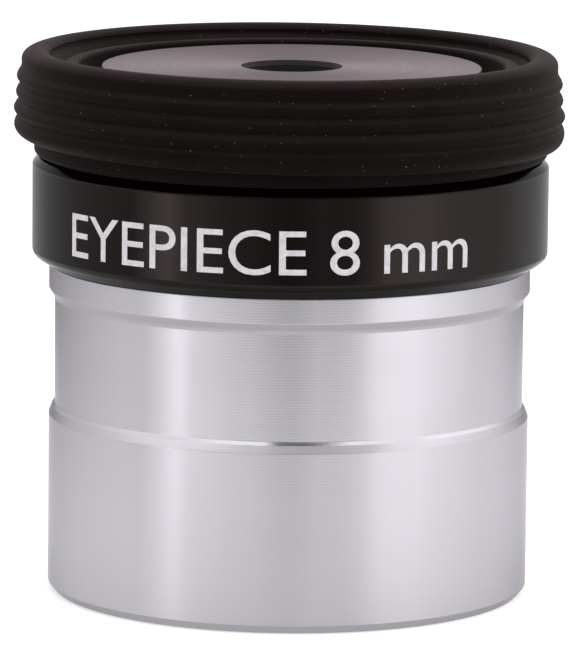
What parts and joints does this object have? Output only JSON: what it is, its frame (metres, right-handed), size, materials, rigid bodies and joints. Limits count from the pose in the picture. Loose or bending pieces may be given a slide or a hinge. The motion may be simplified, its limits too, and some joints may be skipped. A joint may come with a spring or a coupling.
{
  "type": "telescope eyepiece",
  "caption": "Push-fit telescope eyepiece: plated barrel with undercut, black screw-on housing, turned eye cap, doublet lenses in a cell and a ribbed fold-down rubber eyecup.",
  "frame": {"origin": "on the optical axis, in the plane of the barrel's foot", "axes": "+Z along the optical axis from the field end to the eye end; -Y is the side with the marking"},
  "size_m": [0.0362, 0.0362, 0.0357],
  "materials": {
    "barrel_chrome": "satin chrome plate over fine turning marks",
    "black_anodised": "semi-gloss black anodised",
    "turned_grey": "face-turned, dark grey anodised",
    "matt_black": "matt black anodised against glare",
    "flint_glass": "polished, coated on its outer face",
    "crown_glass": "polished",
    "eyecup_rubber": "matt moulded rubber",
    "marking_paint": "pale screen-printed marking on the band"
  },
  "bodies": {
    "barrel": {"barrel": "barrel_chrome"},
    "lens_group": {"eye_flint": "flint_glass", "eye_crown": "crown_glass", "lens_spacer": "matt_black", "field_crown": "crown_glass", "field_flint": "flint_glass"},
    "housing": {"housing": "black_anodised", "eye_cap": "turned_grey", "lens_cell": "matt_black", "retaining_ring": "matt_black", "field_stop": "matt_black", "eyecup_base": "eyecup_rubber"},
    "skirt": {"eyecup_skirt": "eyecup_rubber"}
  },
  "joints": [
    {"name": "housing_lift", "type": "slide", "parent": "barrel", "child": "lens_group", "axis": [0, 0, 1], "range_m": [0, 0.003]},
    {"name": "housing_turn", "type": "hinge", "parent": "lens_group", "child": "housing", "pos_m": [0, 0, 0.0216], "axis": [0, 0, 1], "range_deg": [0, 1440]},
    {"name": "eyecup_fold", "type": "slide", "parent": "housing", "child": "skirt", "axis": [0, 0, 1], "range_m": [0, 0.006]}
  ],
  "couplings": [
    {"joint": "housing_lift", "follows": "housing_turn", "m_per_rad": 0.00011936}
  ]
}
